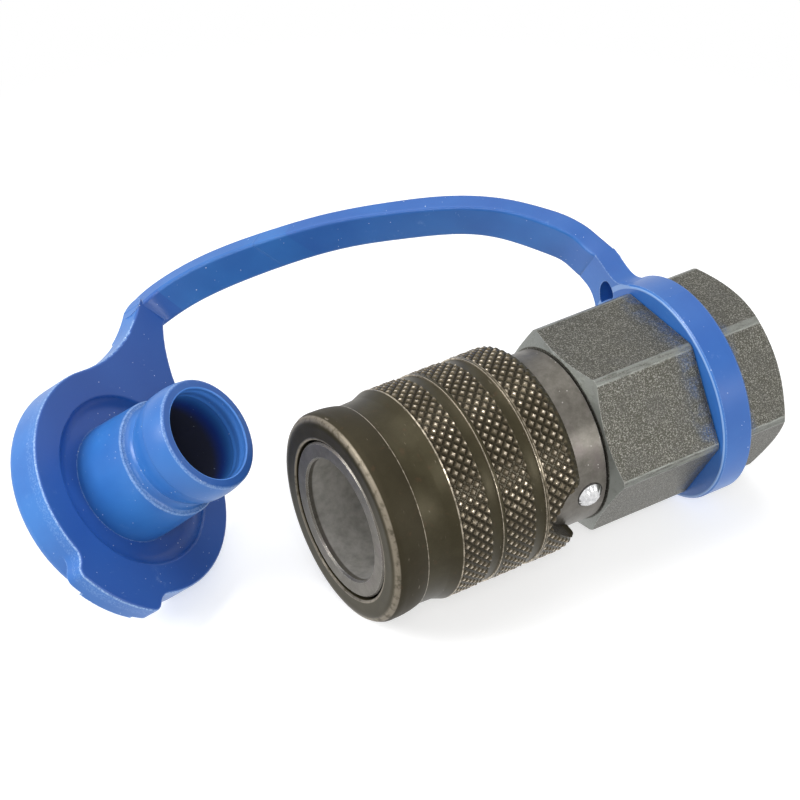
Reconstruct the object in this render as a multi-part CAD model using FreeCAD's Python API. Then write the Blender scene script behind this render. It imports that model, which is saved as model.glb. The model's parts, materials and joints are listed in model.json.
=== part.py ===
import FreeCAD, Part
import math
import os

# Female half of a 3/4 inch hydraulic quick release coupling with its dust plug, in millimetres.
# X runs along the axis from the mouth of the bore to the rear port, Z is up.
# Stations along the axis are distances behind the front face of the body.
# The origin is where the straight bore starts, so the front face is one chamfer ahead of it.

V = FreeCAD.Vector
ORIGIN = V(0, 0, 0)
AXIS_X = V(1, 0, 0)

# Driving dimensions of the coupling.
BORE_R = 13.8                            # straight bore that takes the male tip or the plug
MOUTH_CHAMFER = 0.4
BODY_R = BORE_R + 3.7                    # front of the socket body, which carries the sleeve
BARREL_R = BODY_R + 2.15                 # larger barrel behind the sleeve
BARREL_START = 41.0
BARREL_END = 55.4
STROKE = 6.0                             # pull that frees the balls
RUNNING = 0.08                           # radial clearance of turning and sliding fits
STATIC = 0.05                            # radial clearance of assembled parts that stay put
EDGE = 0.35                              # small broken edges

# Lock by balls.
BALL_COUNT = 8
BALL_R = 2.38
BALL_STATION = 15.0
BALL_POCKET_R = BALL_R + 0.05
BALL_LIFT = 1.2                          # outward travel of a ball over the whole stroke
BALL_ZONE_R = BORE_R + 0.35              # bore opened out between the guide and the seals
LAND_R = BODY_R + RUNNING                # land of the sleeve that holds the balls in
BALL_CENTRE_R = LAND_R - BALL_R
CAM_SLOPE = BALL_LIFT / STROKE
LAND_START = BALL_STATION + 0.3
RELIEF_R = LAND_R + BALL_LIFT + 0.12

# Sleeve.
SLEEVE_FRONT = -0.2
SLEEVE_BACK = 46.8
KNURL_R = BARREL_R + 4.2
RIM_R = KNURL_R - 0.25
BAND_R = KNURL_R - 1.2                   # plain band behind the rim
BAND_STATIONS = (8.5, 13.2)
KNURL_START = 16.2
GROOVE_R = KNURL_R - 0.45
GROOVE_STARTS = (23.3, 34.2)
GROOVE_WIDTH = 2.75
COLLAR_R = KNURL_R - 0.1
COLLAR_WIDTH = 0.7
TAIL_START = 43.9
CHAMBER_SLEEVE_R = BARREL_R + RUNNING    # spring chamber and rear guide of the sleeve
STOP_GAP = 0.55                          # sleeve mouth over the front of the body
SEAT_SHOULDER = 23.5

# Stop ring and springs.
STOP_STATION = 5.2
STOP_WIRE_R = 0.5
STOP_LIP = 0.9
SEAT_THICK = 0.8
SPRING_MEAN_R = (BODY_R + CHAMBER_SLEEVE_R) / 2
SPRING_WIRE_R = (CHAMBER_SLEEVE_R - BODY_R) / 2 - 0.16
SPRING_TURNS = 5.0

# Pin and notch of the sleeve lock. Angles are degrees from +Y toward +Z.
PIN_STATION = 51.0
PIN_ANGLE = 186.4
PIN_R = 2.95
PIN_RISE = 1.6                           # height of the dome over the barrel
PIN_DEPTH = 3.65
NOTCH_ANGLE = 188.0

# Seals in the bore.
SEAL_GROOVE = (21.4, 25.4)
SEAL_GROOVE_R = BORE_R + 2.2
O_RING_WIRE_R = 1.2
BACKUP_WIDTH = 1.5

# Check valve.
BORE_END = 27.0
SEAT_BORE_R = BORE_R - 2.8
SEAT_STATION = 29.0                      # sharp front edge of the conical seat
CHAMBER_R = BORE_R + 0.2
SEAT_GAP = 0.07
NOSE_R = 3.5
NOSE_STATION = 19.5
HEAD_R = CHAMBER_R - 1.7
HEAD_BACK = 31.6
STEM_R = 3.0
STEM_END = 58.0
SEAL_WIDTH = 0.8                         # poppet seal, along the cone in stations
SEAL_DEPTH = 1.0
VALVE_SPRING_R = 5.0
VALVE_WIRE_R = 0.6
VALVE_TURNS = 6.0
GUIDE_FRONT = 50.0
GUIDE_RIM_FRONT = 53.5
GUIDE_BACK = 57.0
GUIDE_HUB_R = STEM_R + 2.6
GUIDE_RIM = 1.6
GUIDE_LEG = 3.2
CIRCLIP_THICK = 1.0
CIRCLIP_R = CHAMBER_R + 0.6
CIRCLIP_WIDTH = 1.9

# Joint of the two bodies, hexagon and rear port.
SPIGOT_R = CHAMBER_R + 3.0
SPIGOT_END = 66.0
SPIGOT_GROOVE = (61.0, 63.4)
BODY_SEAL_WIRE_R = 0.7
HEX_FLATS = 41.0                         # wrench size
HEX_CORNER_R = HEX_FLATS / 2 + 2.8       # corners turned off
HEX_START = BARREL_END + 0.3
HEX_END = 102.5
HEX_FACE_R = HEX_FLATS / 2 - 0.55
HEX_CHAMFERS = (1.6, 2.0)
PORT_MINOR_R = 12.06
PORT_DEPTH = 20.0
PORT_CHAMFER = 1.4
FLOW_R = 13.0
PLUG_RING_GROOVE = (82.4, 90.4)
PLUG_RING_GROOVE_R = HEX_FLATS / 2 - 2.2

# Dust plug moulding.
RING_R = HEX_FLATS / 2 + 4.7
RING_INNER_R = PLUG_RING_GROOVE_R + RUNNING
RING_FRONT = PLUG_RING_GROOVE[0] + 0.24
RING_BACK = PLUG_RING_GROOVE[1] - 0.25
STRAP_ANGLE = 33.0                       # direction of the strap's root, from +Y toward +Z
ROOT_THICK = 5.2
ROOT_REACH = 33.4                        # end of the flat root, from the axis
ROOT_LOW = -5.3
ROOT_HIGH = 5.35
DISC_R = 26.3
DISC_THICK = 10.3
DISC_BACK_EDGE = 2.4
PLATE_THICK = 5.5                        # front plate with the stem and the pull tab
PLATE_EDGE = 0.6
RECESS_R = 19.4
RECESS_DEPTH = 2.0
PLUG_BASE_R = BORE_R - RUNNING
PLUG_SHOULDER_R = BORE_R - 0.5
PLUG_SHOULDER = 12.4
PLUG_NECK_R = BORE_R - 2.6
PLUG_BULGE_R = BORE_R - 0.8
PLUG_LIP_R = BORE_R - 1.3
PLUG_END = 25.7
PLUG_HOLLOW_R = BORE_R - 3.45
HOLLOW_FLOOR = 3.0
STEM_HALF_WIDTH = 3.7                    # at the fold
STEM_REACH = 44.3                        # from the disc's centre to the fold
STEM_ANGLE = 64.1                        # degrees from the disc's steepest way up
STEM_FILLET_R = 36.0                     # hollow flanks from the fold to the disc
WEB_THICK = 4.4                          # thinner web between the disc and the stem
WEB_REACH = 34.5
FOLD_SKEW = 0.236                        # slant of the fold across the stem
FOLD_HALF_WIDTH = 3.7
STRAP_HALF_THICK = 2.1
STRAP_EDGE = 0.7
TAB_ANGLE = 244.0
TAB_REACH = 30.3
TAB_THICK = 4.8
TAB_TURN = 17.8                          # half angle between the centres of the tab's corners
TAB_CORNER_R = 2.5
TAB_FILLET_R = 3.5

# Frame of the dust plug: centre of the disc's front face, axis out of the plug, and two
# directions in the plane of the disc, the second one the steepest way up.
PLUG_CENTRE = V(-30.16, 36.2, 0.13)
PLUG_AXIS = V(0.4389, -0.5861, 0.6810).normalize()
PLUG_SIDE = V(0, 0, 1).cross(PLUG_AXIS).normalize()
PLUG_UP = PLUG_AXIS.cross(PLUG_SIDE)

# Stem in the plane of the disc, and the fold in the middle of its thickness.
STEM_TURN = math.radians(STEM_ANGLE)
STEM_OUT = PLUG_SIDE * math.sin(STEM_TURN) + PLUG_UP * math.cos(STEM_TURN)
STEM_ACROSS = PLUG_SIDE * math.cos(STEM_TURN) - PLUG_UP * math.sin(STEM_TURN)
FOLD_CENTRE = PLUG_CENTRE + STEM_OUT * STEM_REACH - PLUG_AXIS * (PLATE_THICK / 2)
FOLD_LINE = (STEM_OUT * FOLD_SKEW - STEM_ACROSS).normalize()

# Root of the strap: direction out of the ring, and across it.
ROOT_TURN = math.radians(STRAP_ANGLE)
ROOT_OUT = V(0, math.cos(ROOT_TURN), math.sin(ROOT_TURN))
ROOT_ACROSS = V(0, -math.sin(ROOT_TURN), math.cos(ROOT_TURN))

# Centreline of the strap from its root to the fold, chosen by hand, with the half width,
# the half thickness and the roll of the section in degrees.
STRAP = [
    (V(84.5, 30.3, 19.0), 5.2, 2.6, 60),
    (V(83.2, 33.7, 20.6), 5.05, 2.5, 57),
    (V(81.2, 36.6, 21.85), 5.0, 2.5, 54),
    (V(78.0, 40.2, 23.05), 4.8, 2.45, 50),
    (V(71.4, 46.5, 24.85), 4.45, 2.3, 47),
    (V(63.9, 51.7, 25.6), 4.25, 2.3, 46),
    (V(51.7, 57.9, 25.2), 4.2, 2.25, 43),
    (V(43.4, 61.7, 24.5), 4.1, 2.15, 40),
    (V(34.7, 64.9, 23.5), 4.1, STRAP_HALF_THICK, 37),
    (V(25.8, 67.6, 22.0), 4.1, 2.15, 34),
    (V(16.8, 70.35, 19.9), 4.15, 2.25, 31),
    (V(7.53, 72.3, 17.55), 4.1, 2.35, 28),
    (V(0.3, 73.45, 14.86), 4.0, 2.5, 26)]
VIEW_BACK = V(-0.4146, -0.6825, 0.6020)  # the strap's rolls are counted from this direction


def polar(station, radius, angle):
    """Point at a station, radius and angle in degrees from +Y toward +Z."""
    turn = math.radians(angle)
    return V(station, radius * math.cos(turn), radius * math.sin(turn))


def path_face(path, place):
    """Flat face from a closed path of (a, b) points; (a_mid, b_mid, a, b) is an arc to (a, b)."""
    edges = []
    last = place(*path[0])
    for step in path[1:] + [path[0][:2]]:
        end = place(*step[-2:])
        if len(step) == 4:
            edges.append(Part.Arc(last, place(*step[:2]), end).toShape())
        elif end.distanceToPoint(last) > 1e-6:
            edges.append(Part.makeLine(last, end))
        last = end
    return Part.Face(Part.Wire(edges))


def turned(path):
    """Solid turned about the X axis from a closed path of (station, radius) points."""
    face = path_face(path, lambda station, radius: V(station, 0, radius))
    return face.revolve(ORIGIN, AXIS_X, 360)


def tube(start, end, inner, outer):
    return turned([(start, inner), (start, outer), (end, outer), (end, inner)])


def wire_ring(station, mean_r, wire_r):
    """Ring of round section about the X axis."""
    return Part.makeTorus(mean_r, wire_r, V(station, 0, 0), AXIS_X)


def split(ring, gap):
    """A ring with a gap cut through its top."""
    size = ring.BoundBox
    return ring.cut(Part.makeBox(size.XLength, gap, size.ZMax, V(size.XMin, -gap / 2, 0)))


def coil(start, end, mean_r, wire_r, turns):
    """Compression spring with one closed turn and a ground face at each end."""
    grind = 0.2 * wire_r
    closed = 2.04 * wire_r
    free = (end - start - 2 * closed) / (turns - 2)
    steps = 14
    points = []
    for i in range(int(turns * steps) + 1):
        turn = i / steps
        if turn < 1:
            along = start + grind + (closed - grind) * turn
        elif turn > turns - 1:
            along = end - grind - (closed - grind) * (turns - turn)
        else:
            along = start + closed + free * (turn - 1)
        points.append(polar(along, mean_r, 360 * turn))
    line = Part.BSplineCurve()
    line.interpolate(points)
    direction = line.tangent(line.FirstParameter)[0]
    section = Part.Wire(Part.makeCircle(wire_r, points[0], direction))
    body = Part.Wire(line.toShape()).makePipeShell([section], True, True)
    return body.common(tube(start, end, mean_r - 2 * wire_r, mean_r + 2 * wire_r))


def ball_angles():
    step = 360 / BALL_COUNT
    return [step * (i + 0.5) for i in range(BALL_COUNT)]


def front_body():
    """Socket body: bore with seal groove, valve seat and chamber, ball pockets, barrel, spigot."""
    seat_end = SEAT_STATION + CHAMBER_R - SEAT_BORE_R
    stop_front = STOP_STATION - STOP_WIRE_R - STATIC
    stop_back = STOP_STATION + STOP_WIRE_R + STATIC
    stop_floor = BODY_R - STOP_WIRE_R - 0.03
    zone_front = BALL_STATION - BALL_POCKET_R + 0.03
    zone_back = BALL_STATION + BALL_POCKET_R + 0.3
    spigot_floor = SPIGOT_R - 2 * BODY_SEAL_WIRE_R
    neck_end = BARREL_END + 1.8
    clip_back = GUIDE_BACK + CIRCLIP_THICK + 2 * STATIC
    clip_floor = CIRCLIP_R + STATIC
    outside = [
        (0, BORE_R + MOUTH_CHAMFER), (0, BODY_R - EDGE), (EDGE, BODY_R),
        (stop_front, BODY_R), (stop_front, stop_floor), (stop_back, stop_floor), (stop_back, BODY_R),
        (BARREL_START, BODY_R), (BARREL_START, BARREL_R - EDGE), (BARREL_START + EDGE, BARREL_R),
        (BARREL_END - EDGE, BARREL_R), (BARREL_END, BARREL_R - EDGE), (BARREL_END, SPIGOT_R - EDGE),
        (neck_end, SPIGOT_R - EDGE), (neck_end + EDGE, SPIGOT_R),
        (SPIGOT_GROOVE[0], SPIGOT_R), (SPIGOT_GROOVE[0], spigot_floor),
        (SPIGOT_GROOVE[1], spigot_floor), (SPIGOT_GROOVE[1], SPIGOT_R),
        (SPIGOT_END - EDGE, SPIGOT_R), (SPIGOT_END, SPIGOT_R - EDGE)]
    inside = [
        (SPIGOT_END, CHAMBER_R), (clip_back, CHAMBER_R), (clip_back, clip_floor),
        (GUIDE_BACK, clip_floor), (GUIDE_BACK, CHAMBER_R), (seat_end, CHAMBER_R),
        (SEAT_STATION, SEAT_BORE_R), (BORE_END, SEAT_BORE_R), (BORE_END, BORE_R),
        (SEAL_GROOVE[1], BORE_R), (SEAL_GROOVE[1], SEAL_GROOVE_R),
        (SEAL_GROOVE[0], SEAL_GROOVE_R), (SEAL_GROOVE[0], BORE_R),
        (zone_back, BORE_R), (zone_back - 0.3, BALL_ZONE_R), (zone_front + 0.3, BALL_ZONE_R),
        (zone_front, BORE_R), (MOUTH_CHAMFER, BORE_R)]
    body = turned(outside + inside)
    for angle in ball_angles():
        centre = polar(BALL_STATION, BALL_CENTRE_R, angle)
        way_out = Part.makeCylinder(BALL_POCKET_R, BODY_R, centre, polar(0, 1, angle))
        body = body.cut(Part.makeSphere(BALL_POCKET_R, centre).fuse(way_out))
    foot = polar(PIN_STATION, BARREL_R - PIN_DEPTH, PIN_ANGLE)
    return body.cut(Part.makeCylinder(PIN_R, 2 * PIN_DEPTH, foot, polar(0, 1, PIN_ANGLE)))


def hex_body():
    """Hexagon with turned corners, chamfered ends, ring groove, threaded socket and rear port."""
    corner_r = HEX_FLATS / math.sqrt(3)
    corners = [polar(HEX_START, corner_r, 60 * i) for i in range(7)]
    prism = Part.Face(Part.makePolygon(corners)).extrude(V(HEX_END - HEX_START, 0, 0))
    socket_r = SPIGOT_R + STATIC
    port_start = HEX_END - PORT_DEPTH
    envelope = turned([
        (HEX_START, socket_r + EDGE), (HEX_START, HEX_FACE_R), (HEX_START + HEX_CHAMFERS[0], HEX_CORNER_R),
        (PLUG_RING_GROOVE[0], HEX_CORNER_R), (PLUG_RING_GROOVE[0], PLUG_RING_GROOVE_R),
        (PLUG_RING_GROOVE[1], PLUG_RING_GROOVE_R), (PLUG_RING_GROOVE[1], HEX_CORNER_R),
        (HEX_END - HEX_CHAMFERS[1], HEX_CORNER_R), (HEX_END, HEX_FACE_R),
        (HEX_END, PORT_MINOR_R + PORT_CHAMFER), (HEX_END - PORT_CHAMFER, PORT_MINOR_R),
        (port_start, PORT_MINOR_R), (port_start - FLOW_R + PORT_MINOR_R, FLOW_R),
        (SPIGOT_END, FLOW_R), (SPIGOT_END, socket_r), (HEX_START + EDGE, socket_r)])
    return prism.common(envelope)


def notch_cutter():
    """Curved pocket in the sleeve's back edge: rounded corner, long flank and a hooked tip.

    Its outline is in distances ahead of the sleeve's back edge and across the notch."""
    outline = [(-3.2, -9.2), (1.0, -7.95), (3.65, -6.85), (5.83, -4.5), (7.85, -1.3),
               (7.9, 0.5), (6.6, 2.6), (4.3, 4.75), (1.6, 6.9), (-0.2, 7.9), (-1.2, 8.9), (-2.7, 11.5)]
    turn = math.radians(NOTCH_ANGLE)
    radial = V(0, math.cos(turn), math.sin(turn))
    across = V(0, -math.sin(turn), math.cos(turn))
    base = radial * (BARREL_R - 4)
    behind = -8.0

    def place(ahead, side):
        return base + V(SLEEVE_BACK - ahead, 0, 0) + across * side

    curve = Part.BSplineCurve()
    curve.interpolate([place(*point) for point in outline])
    back = [outline[-1], (behind, outline[-1][1]), (behind, outline[0][1]), outline[0]]
    sides = Part.makePolygon([place(*point) for point in back]).Edges
    return Part.Face(Part.Wire([curve.toShape()] + sides)).extrude(radial * 12)


def knurled_sleeve():
    """Turned sleeve: worn rim, plain band, three knurled bands, two grooves, ball cam inside."""
    cam_start = LAND_START - (RELIEF_R - LAND_R) / CAM_SLOPE
    lip_front = STOP_STATION + STOP_WIRE_R
    lip_back = lip_front + STOP_LIP
    mouth_r = BODY_R + STOP_GAP
    rim_end, band_end = BAND_STATIONS
    outside = [
        (SLEEVE_FRONT, mouth_r + EDGE), (SLEEVE_FRONT, RIM_R - 3.0), (-0.1, RIM_R - 1.7, 0.4, RIM_R - 0.65),
        (1.2, RIM_R - 0.15, 2.7, RIM_R), (5.4, RIM_R - 0.12, rim_end - 0.5, RIM_R - 0.65),
        (rim_end - 0.5, BAND_R + 0.05), (rim_end, BAND_R), (band_end, BAND_R + 0.15),
        (14.2, BAND_R + 0.45, KNURL_START, KNURL_R)]
    for start in GROOVE_STARTS:
        end = start + GROOVE_WIDTH
        outside += [(start, KNURL_R), (start + 0.3, GROOVE_R + 0.05),
                    (start + GROOVE_WIDTH / 2, GROOVE_R - 0.08, end - 0.05, GROOVE_R),
                    (end, COLLAR_R), (end + COLLAR_WIDTH, COLLAR_R), (end + COLLAR_WIDTH + 0.2, KNURL_R)]
    outside += [(TAIL_START, KNURL_R), (SLEEVE_BACK - 0.7, KNURL_R - 0.75, SLEEVE_BACK, KNURL_R - 2.45)]
    inside = [
        (SLEEVE_BACK, CHAMBER_SLEEVE_R + EDGE), (SLEEVE_BACK - EDGE, CHAMBER_SLEEVE_R),
        (SEAT_SHOULDER, CHAMBER_SLEEVE_R), (SEAT_SHOULDER, LAND_R), (LAND_START, LAND_R),
        (cam_start, RELIEF_R), (lip_back, RELIEF_R), (lip_back, LAND_R), (lip_front, LAND_R),
        (lip_front, mouth_r + 0.4), (1.1, mouth_r + 0.4), (1.1, mouth_r), (SLEEVE_FRONT + EDGE, mouth_r)]
    return turned(outside + inside).cut(notch_cutter())


def lock_pin():
    """Pin pressed in the barrel, with a low dome."""
    radial = polar(0, 1, PIN_ANGLE)
    foot = polar(PIN_STATION, BARREL_R - PIN_DEPTH, PIN_ANGLE)
    edge = PIN_DEPTH + 0.15
    top = PIN_DEPTH + PIN_RISE
    half = PIN_R * math.sqrt(0.5)
    dome_r = (PIN_R ** 2 + (top - edge) ** 2) / (2 * (top - edge))
    half_up = top - dome_r + math.sqrt(dome_r ** 2 - half ** 2)
    outline = path_face([(0, 0), (PIN_R, 0), (PIN_R, edge), (half, half_up, 0, top)],
                        lambda side, up: foot + V(side, 0, 0) + radial * up)
    return outline.revolve(foot, radial, 360)


def sleeve_stop_ring():
    return split(wire_ring(STOP_STATION, BODY_R, STOP_WIRE_R), 3.0)


def spring_seat_ring():
    return tube(SEAT_SHOULDER, SEAT_SHOULDER + SEAT_THICK, LAND_R, BARREL_R)


def sleeve_spring():
    return coil(SEAT_SHOULDER + SEAT_THICK, BARREL_START, SPRING_MEAN_R, SPRING_WIRE_R, SPRING_TURNS)


def bore_o_ring():
    return wire_ring(SEAL_GROOVE[0] + O_RING_WIRE_R, SEAL_GROOVE_R - O_RING_WIRE_R - 0.02, O_RING_WIRE_R)


def backup_ring():
    back = SEAL_GROOVE[1] - STATIC
    return tube(back - BACKUP_WIDTH, back, BORE_R + 0.1, SEAL_GROOVE_R - STATIC)


def cone_point(station, depth=0.0):
    """Point on the closed valve's cone, or that far under it."""
    offset = depth * math.sqrt(0.5)
    return (station + offset, station + SEAT_BORE_R - SEAT_STATION - SEAT_GAP - offset)


def seal_corners():
    middle = SEAT_STATION + 0.4
    front = middle - SEAL_WIDTH / 2
    back = middle + SEAL_WIDTH / 2
    return [cone_point(front), cone_point(front, SEAL_DEPTH), cone_point(back, SEAL_DEPTH), cone_point(back)]


def valve_poppet():
    """Valve head with conical face and seal groove, nose in front and guided stem behind."""
    cone_start = cone_point(SEAT_STATION - 0.8)
    rim = HEAD_R - cone_start[1] + cone_start[0]
    return turned([
        (NOSE_STATION, 0), (NOSE_STATION, NOSE_R - 1.1),
        (NOSE_STATION + 0.3, NOSE_R - 0.3, NOSE_STATION + 1.1, NOSE_R), (cone_start[0] - 2.6, NOSE_R),
        (cone_start[0] - 0.9, NOSE_R + 1.8, cone_start[0] - 0.4, cone_start[1] - 1.2), cone_start,
        *seal_corners(), (rim, HEAD_R), (HEAD_BACK, HEAD_R), (HEAD_BACK, STEM_R),
        (STEM_END - EDGE, STEM_R), (STEM_END, STEM_R - EDGE), (STEM_END, 0)])


def poppet_seal():
    """Moulded seal in the face of the valve head, a little proud of it."""
    corners = seal_corners()
    proud = 0.03
    return turned(corners + [(corners[3][0] - proud, corners[3][1] + proud),
                             (corners[0][0] - proud, corners[0][1] + proud)])


def valve_spring():
    return coil(HEAD_BACK, GUIDE_FRONT, VALVE_SPRING_R, VALVE_WIRE_R, VALVE_TURNS)


def valve_guide():
    """Spider: hub for the stem, three legs and a rim that stands on the circlip."""
    rim_r = CHAMBER_R - STATIC
    guide = tube(GUIDE_FRONT, GUIDE_BACK, STEM_R + RUNNING, GUIDE_HUB_R)
    guide = guide.fuse(tube(GUIDE_RIM_FRONT, GUIDE_BACK, rim_r - GUIDE_RIM, rim_r))
    foot = GUIDE_HUB_R - 1.2
    leg = Part.makeBox(GUIDE_BACK - GUIDE_RIM_FRONT, GUIDE_LEG, rim_r - GUIDE_RIM / 2 - foot,
                       V(GUIDE_RIM_FRONT, -GUIDE_LEG / 2, foot))
    for turn in (-60, 60, 180):
        guide = guide.fuse(leg.rotated(ORIGIN, AXIS_X, turn))
    return guide.removeSplitter()


def guide_circlip():
    return split(tube(GUIDE_BACK, GUIDE_BACK + CIRCLIP_THICK, CIRCLIP_R - CIRCLIP_WIDTH, CIRCLIP_R), 8.0)


def body_o_ring():
    middle = (SPIGOT_GROOVE[0] + SPIGOT_GROOVE[1]) / 2
    return wire_ring(middle, SPIGOT_R - BODY_SEAL_WIRE_R + 0.02, BODY_SEAL_WIRE_R)


def in_disc(across, up, along=0.0):
    """Point from coordinates in the plane of the disc and along the plug."""
    return PLUG_CENTRE + PLUG_SIDE * across + PLUG_UP * up + PLUG_AXIS * along


def section(centre, wide, front, half_width, half_thick):
    """Rounded rectangle across the strap."""
    corner = STRAP_EDGE
    mid = corner * (1 - math.sqrt(0.5))
    w, t = half_width, half_thick
    path = [(w - corner, t), (w - mid, t - mid, w, t - corner), (w, corner - t),
            (w - mid, mid - t, w - corner, -t), (corner - w, -t), (mid - w, mid - t, -w, corner - t),
            (-w, t - corner), (mid - w, t - mid, corner - w, t)]
    return path_face(path, lambda a, b: centre + wide * a + front * b).OuterWire


def strap():
    """Flat strap from the ring to the fold, wider at its root, its end slanted along the fold."""
    root = V(RING_FRONT + ROOT_THICK / 2, 0, 0) + ROOT_ACROSS * ((ROOT_HIGH + ROOT_LOW) / 2)
    half_root = (ROOT_HIGH - ROOT_LOW) / 2
    half_thick = ROOT_THICK / 2
    wires = [section(root + ROOT_OUT * (ROOT_REACH - 3), ROOT_ACROSS, -AXIS_X, half_root - 1.2, half_thick - 0.5),
             section(root + ROOT_OUT * ROOT_REACH, ROOT_ACROSS, -AXIS_X, half_root + 0.06, half_thick + 0.06)]
    centres = [root + ROOT_OUT * ROOT_REACH] + [station[0] for station in STRAP] + [FOLD_CENTRE]
    for i, (centre, half_width, half_thick, roll) in enumerate(STRAP):
        tangent = (centres[i + 2] - centres[i]).normalize()
        toward = (VIEW_BACK - tangent * VIEW_BACK.dot(tangent)).normalize()
        upward = tangent.cross(toward)
        turn = math.radians(roll)
        wide = upward * math.cos(turn) + toward * math.sin(turn)
        front = toward * math.cos(turn) - upward * math.sin(turn)
        wires.append(section(centre, wide, front, half_width, half_thick))
    front = FOLD_LINE.cross(FOLD_CENTRE - centres[-2]).normalize()
    wires.append(section(FOLD_CENTRE, FOLD_LINE, front, FOLD_HALF_WIDTH, PLATE_THICK / 2))
    return Part.makeLoft(wires, True, False)


def fold():
    """Round outside of the bend between the strap and the stem."""
    start = FOLD_CENTRE - FOLD_LINE * FOLD_HALF_WIDTH
    return Part.makeCylinder(PLATE_THICK / 2, 2 * FOLD_HALF_WIDTH, start, FOLD_LINE)


def spline(points, closed=False):
    curve = Part.BSplineCurve()
    curve.interpolate(points, PeriodicFlag=closed)
    return curve.toShape()


def plug_ring():
    """Ring round the hexagon and the root of the strap, flush with its front."""
    edge = 0.5
    ring = turned([(RING_FRONT, RING_INNER_R + 0.4), (RING_FRONT, RING_R - edge), (RING_FRONT + edge, RING_R),
                   (RING_BACK - edge, RING_R), (RING_BACK, RING_R - edge), (RING_BACK, RING_INNER_R + 0.4),
                   (RING_BACK - 0.4, RING_INNER_R), (RING_FRONT + 0.4, RING_INNER_R)])

    def run(points):
        return [V(RING_FRONT, 0, 0) + ROOT_OUT * reach + ROOT_ACROSS * across for reach, across in points]

    lower = run([(22.0, -7.5), (24.6, -6.2), (26.2, -5.1), (28.9, -4.1), (31.0, -4.4), (ROOT_REACH, ROOT_LOW)])
    upper = run([(ROOT_REACH, ROOT_HIGH), (29.5, 6.2), (26.7, 6.9), (24.8, 8.0), (22.6, 11.0), (20.5, 13.0)])
    rim = [spline(lower), Part.makeLine(lower[-1], upper[0]), spline(upper),
           Part.makeLine(upper[-1], lower[0])]
    return ring.fuse(Part.Face(Part.Wire(rim)).extrude(V(ROOT_THICK, 0, 0)))


def root_hole():
    """Tear-shaped hole between the ring and the root of the strap."""
    rim = [(20.86, 18.13), (19.62, 18.31), (18.62, 17.69), (18.0, 16.8), (17.75, 15.58),
           (20.37, 13.21), (22.34, 11.5), (22.72, 12.93), (22.81, 15.08), (22.1, 16.87)]
    loop = spline([V(RING_FRONT - 4, y, z) for y, z in rim], True)
    return Part.Face(Part.Wire(loop)).extrude(V(14, 0, 0))


def on_circle(radius, angle):
    """Plane point on a circle about the disc's centre, angle in degrees clockwise from the top."""
    turn = math.radians(angle)
    return (radius * math.sin(turn), radius * math.cos(turn))


def arc_step(centre, radius, first, last):
    """Arc step of a path about a centre, from one angle to the next, clockwise from the top."""
    middle = on_circle(radius, (first + last) / 2)
    end = on_circle(radius, last)
    return (centre[0] + middle[0], centre[1] + middle[1], centre[0] + end[0], centre[1] + end[1])


def stem_flank(side):
    """Tip of a flank of the stem, its hollow arc from there to the disc, and where that ends."""
    across = side * STEM_HALF_WIDTH
    reach = STEM_REACH - FOLD_SKEW * across
    far = math.hypot(across, reach)
    tip_angle = STEM_ANGLE + math.degrees(math.atan2(across, reach))
    hub = DISC_R + STEM_FILLET_R
    between = math.acos((hub ** 2 + far ** 2 - STEM_FILLET_R ** 2) / (2 * hub * far))
    end_angle = tip_angle + side * math.degrees(between)
    tip = on_circle(far, tip_angle)
    centre = on_circle(hub, end_angle)
    back_angle = math.degrees(math.atan2(tip[0] - centre[0], tip[1] - centre[1])) % 360
    return tip, centre, back_angle, end_angle


def tab_end(side):
    """Round corner at one end of the tab and the fillet to the disc beside it."""
    near, far = TAB_REACH - TAB_CORNER_R, DISC_R + TAB_FILLET_R
    gap = TAB_CORNER_R + TAB_FILLET_R
    spread = math.degrees(math.acos((near ** 2 + far ** 2 - gap ** 2) / (2 * near * far)))
    corner_angle = TAB_ANGLE + side * TAB_TURN
    fillet_angle = corner_angle + side * spread
    corner = on_circle(near, corner_angle)
    fillet = on_circle(far, fillet_angle)
    joint = math.degrees(math.atan2(fillet[0] - corner[0], fillet[1] - corner[1])) % 360
    return corner, corner_angle, fillet, fillet_angle, joint


def plate_outline():
    """Outline of the front plate, clockwise from the fold: stem, disc, tab, disc, stem."""
    middle = (0.0, 0.0)
    right_tip, right_centre, right_back, right_end = stem_flank(1)
    left_tip, left_centre, left_back, left_end = stem_flank(-1)
    low, low_angle, low_fillet, low_start, low_joint = tab_end(-1)
    high, high_angle, high_fillet, high_start, high_joint = tab_end(1)
    return [right_tip, arc_step(right_centre, STEM_FILLET_R, right_back, right_end + 180),
            arc_step(middle, DISC_R, right_end, low_start),
            arc_step(low_fillet, TAB_FILLET_R, low_start + 180, low_joint + 180),
            arc_step(low, TAB_CORNER_R, low_joint, low_angle),
            arc_step(middle, TAB_REACH, low_angle, high_angle),
            arc_step(high, TAB_CORNER_R, high_angle, high_joint),
            arc_step(high_fillet, TAB_FILLET_R, high_joint + 180, high_start + 180),
            arc_step(middle, DISC_R, high_start, left_end + 360),
            arc_step(left_centre, STEM_FILLET_R, left_end + 180, left_back), left_tip]


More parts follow.
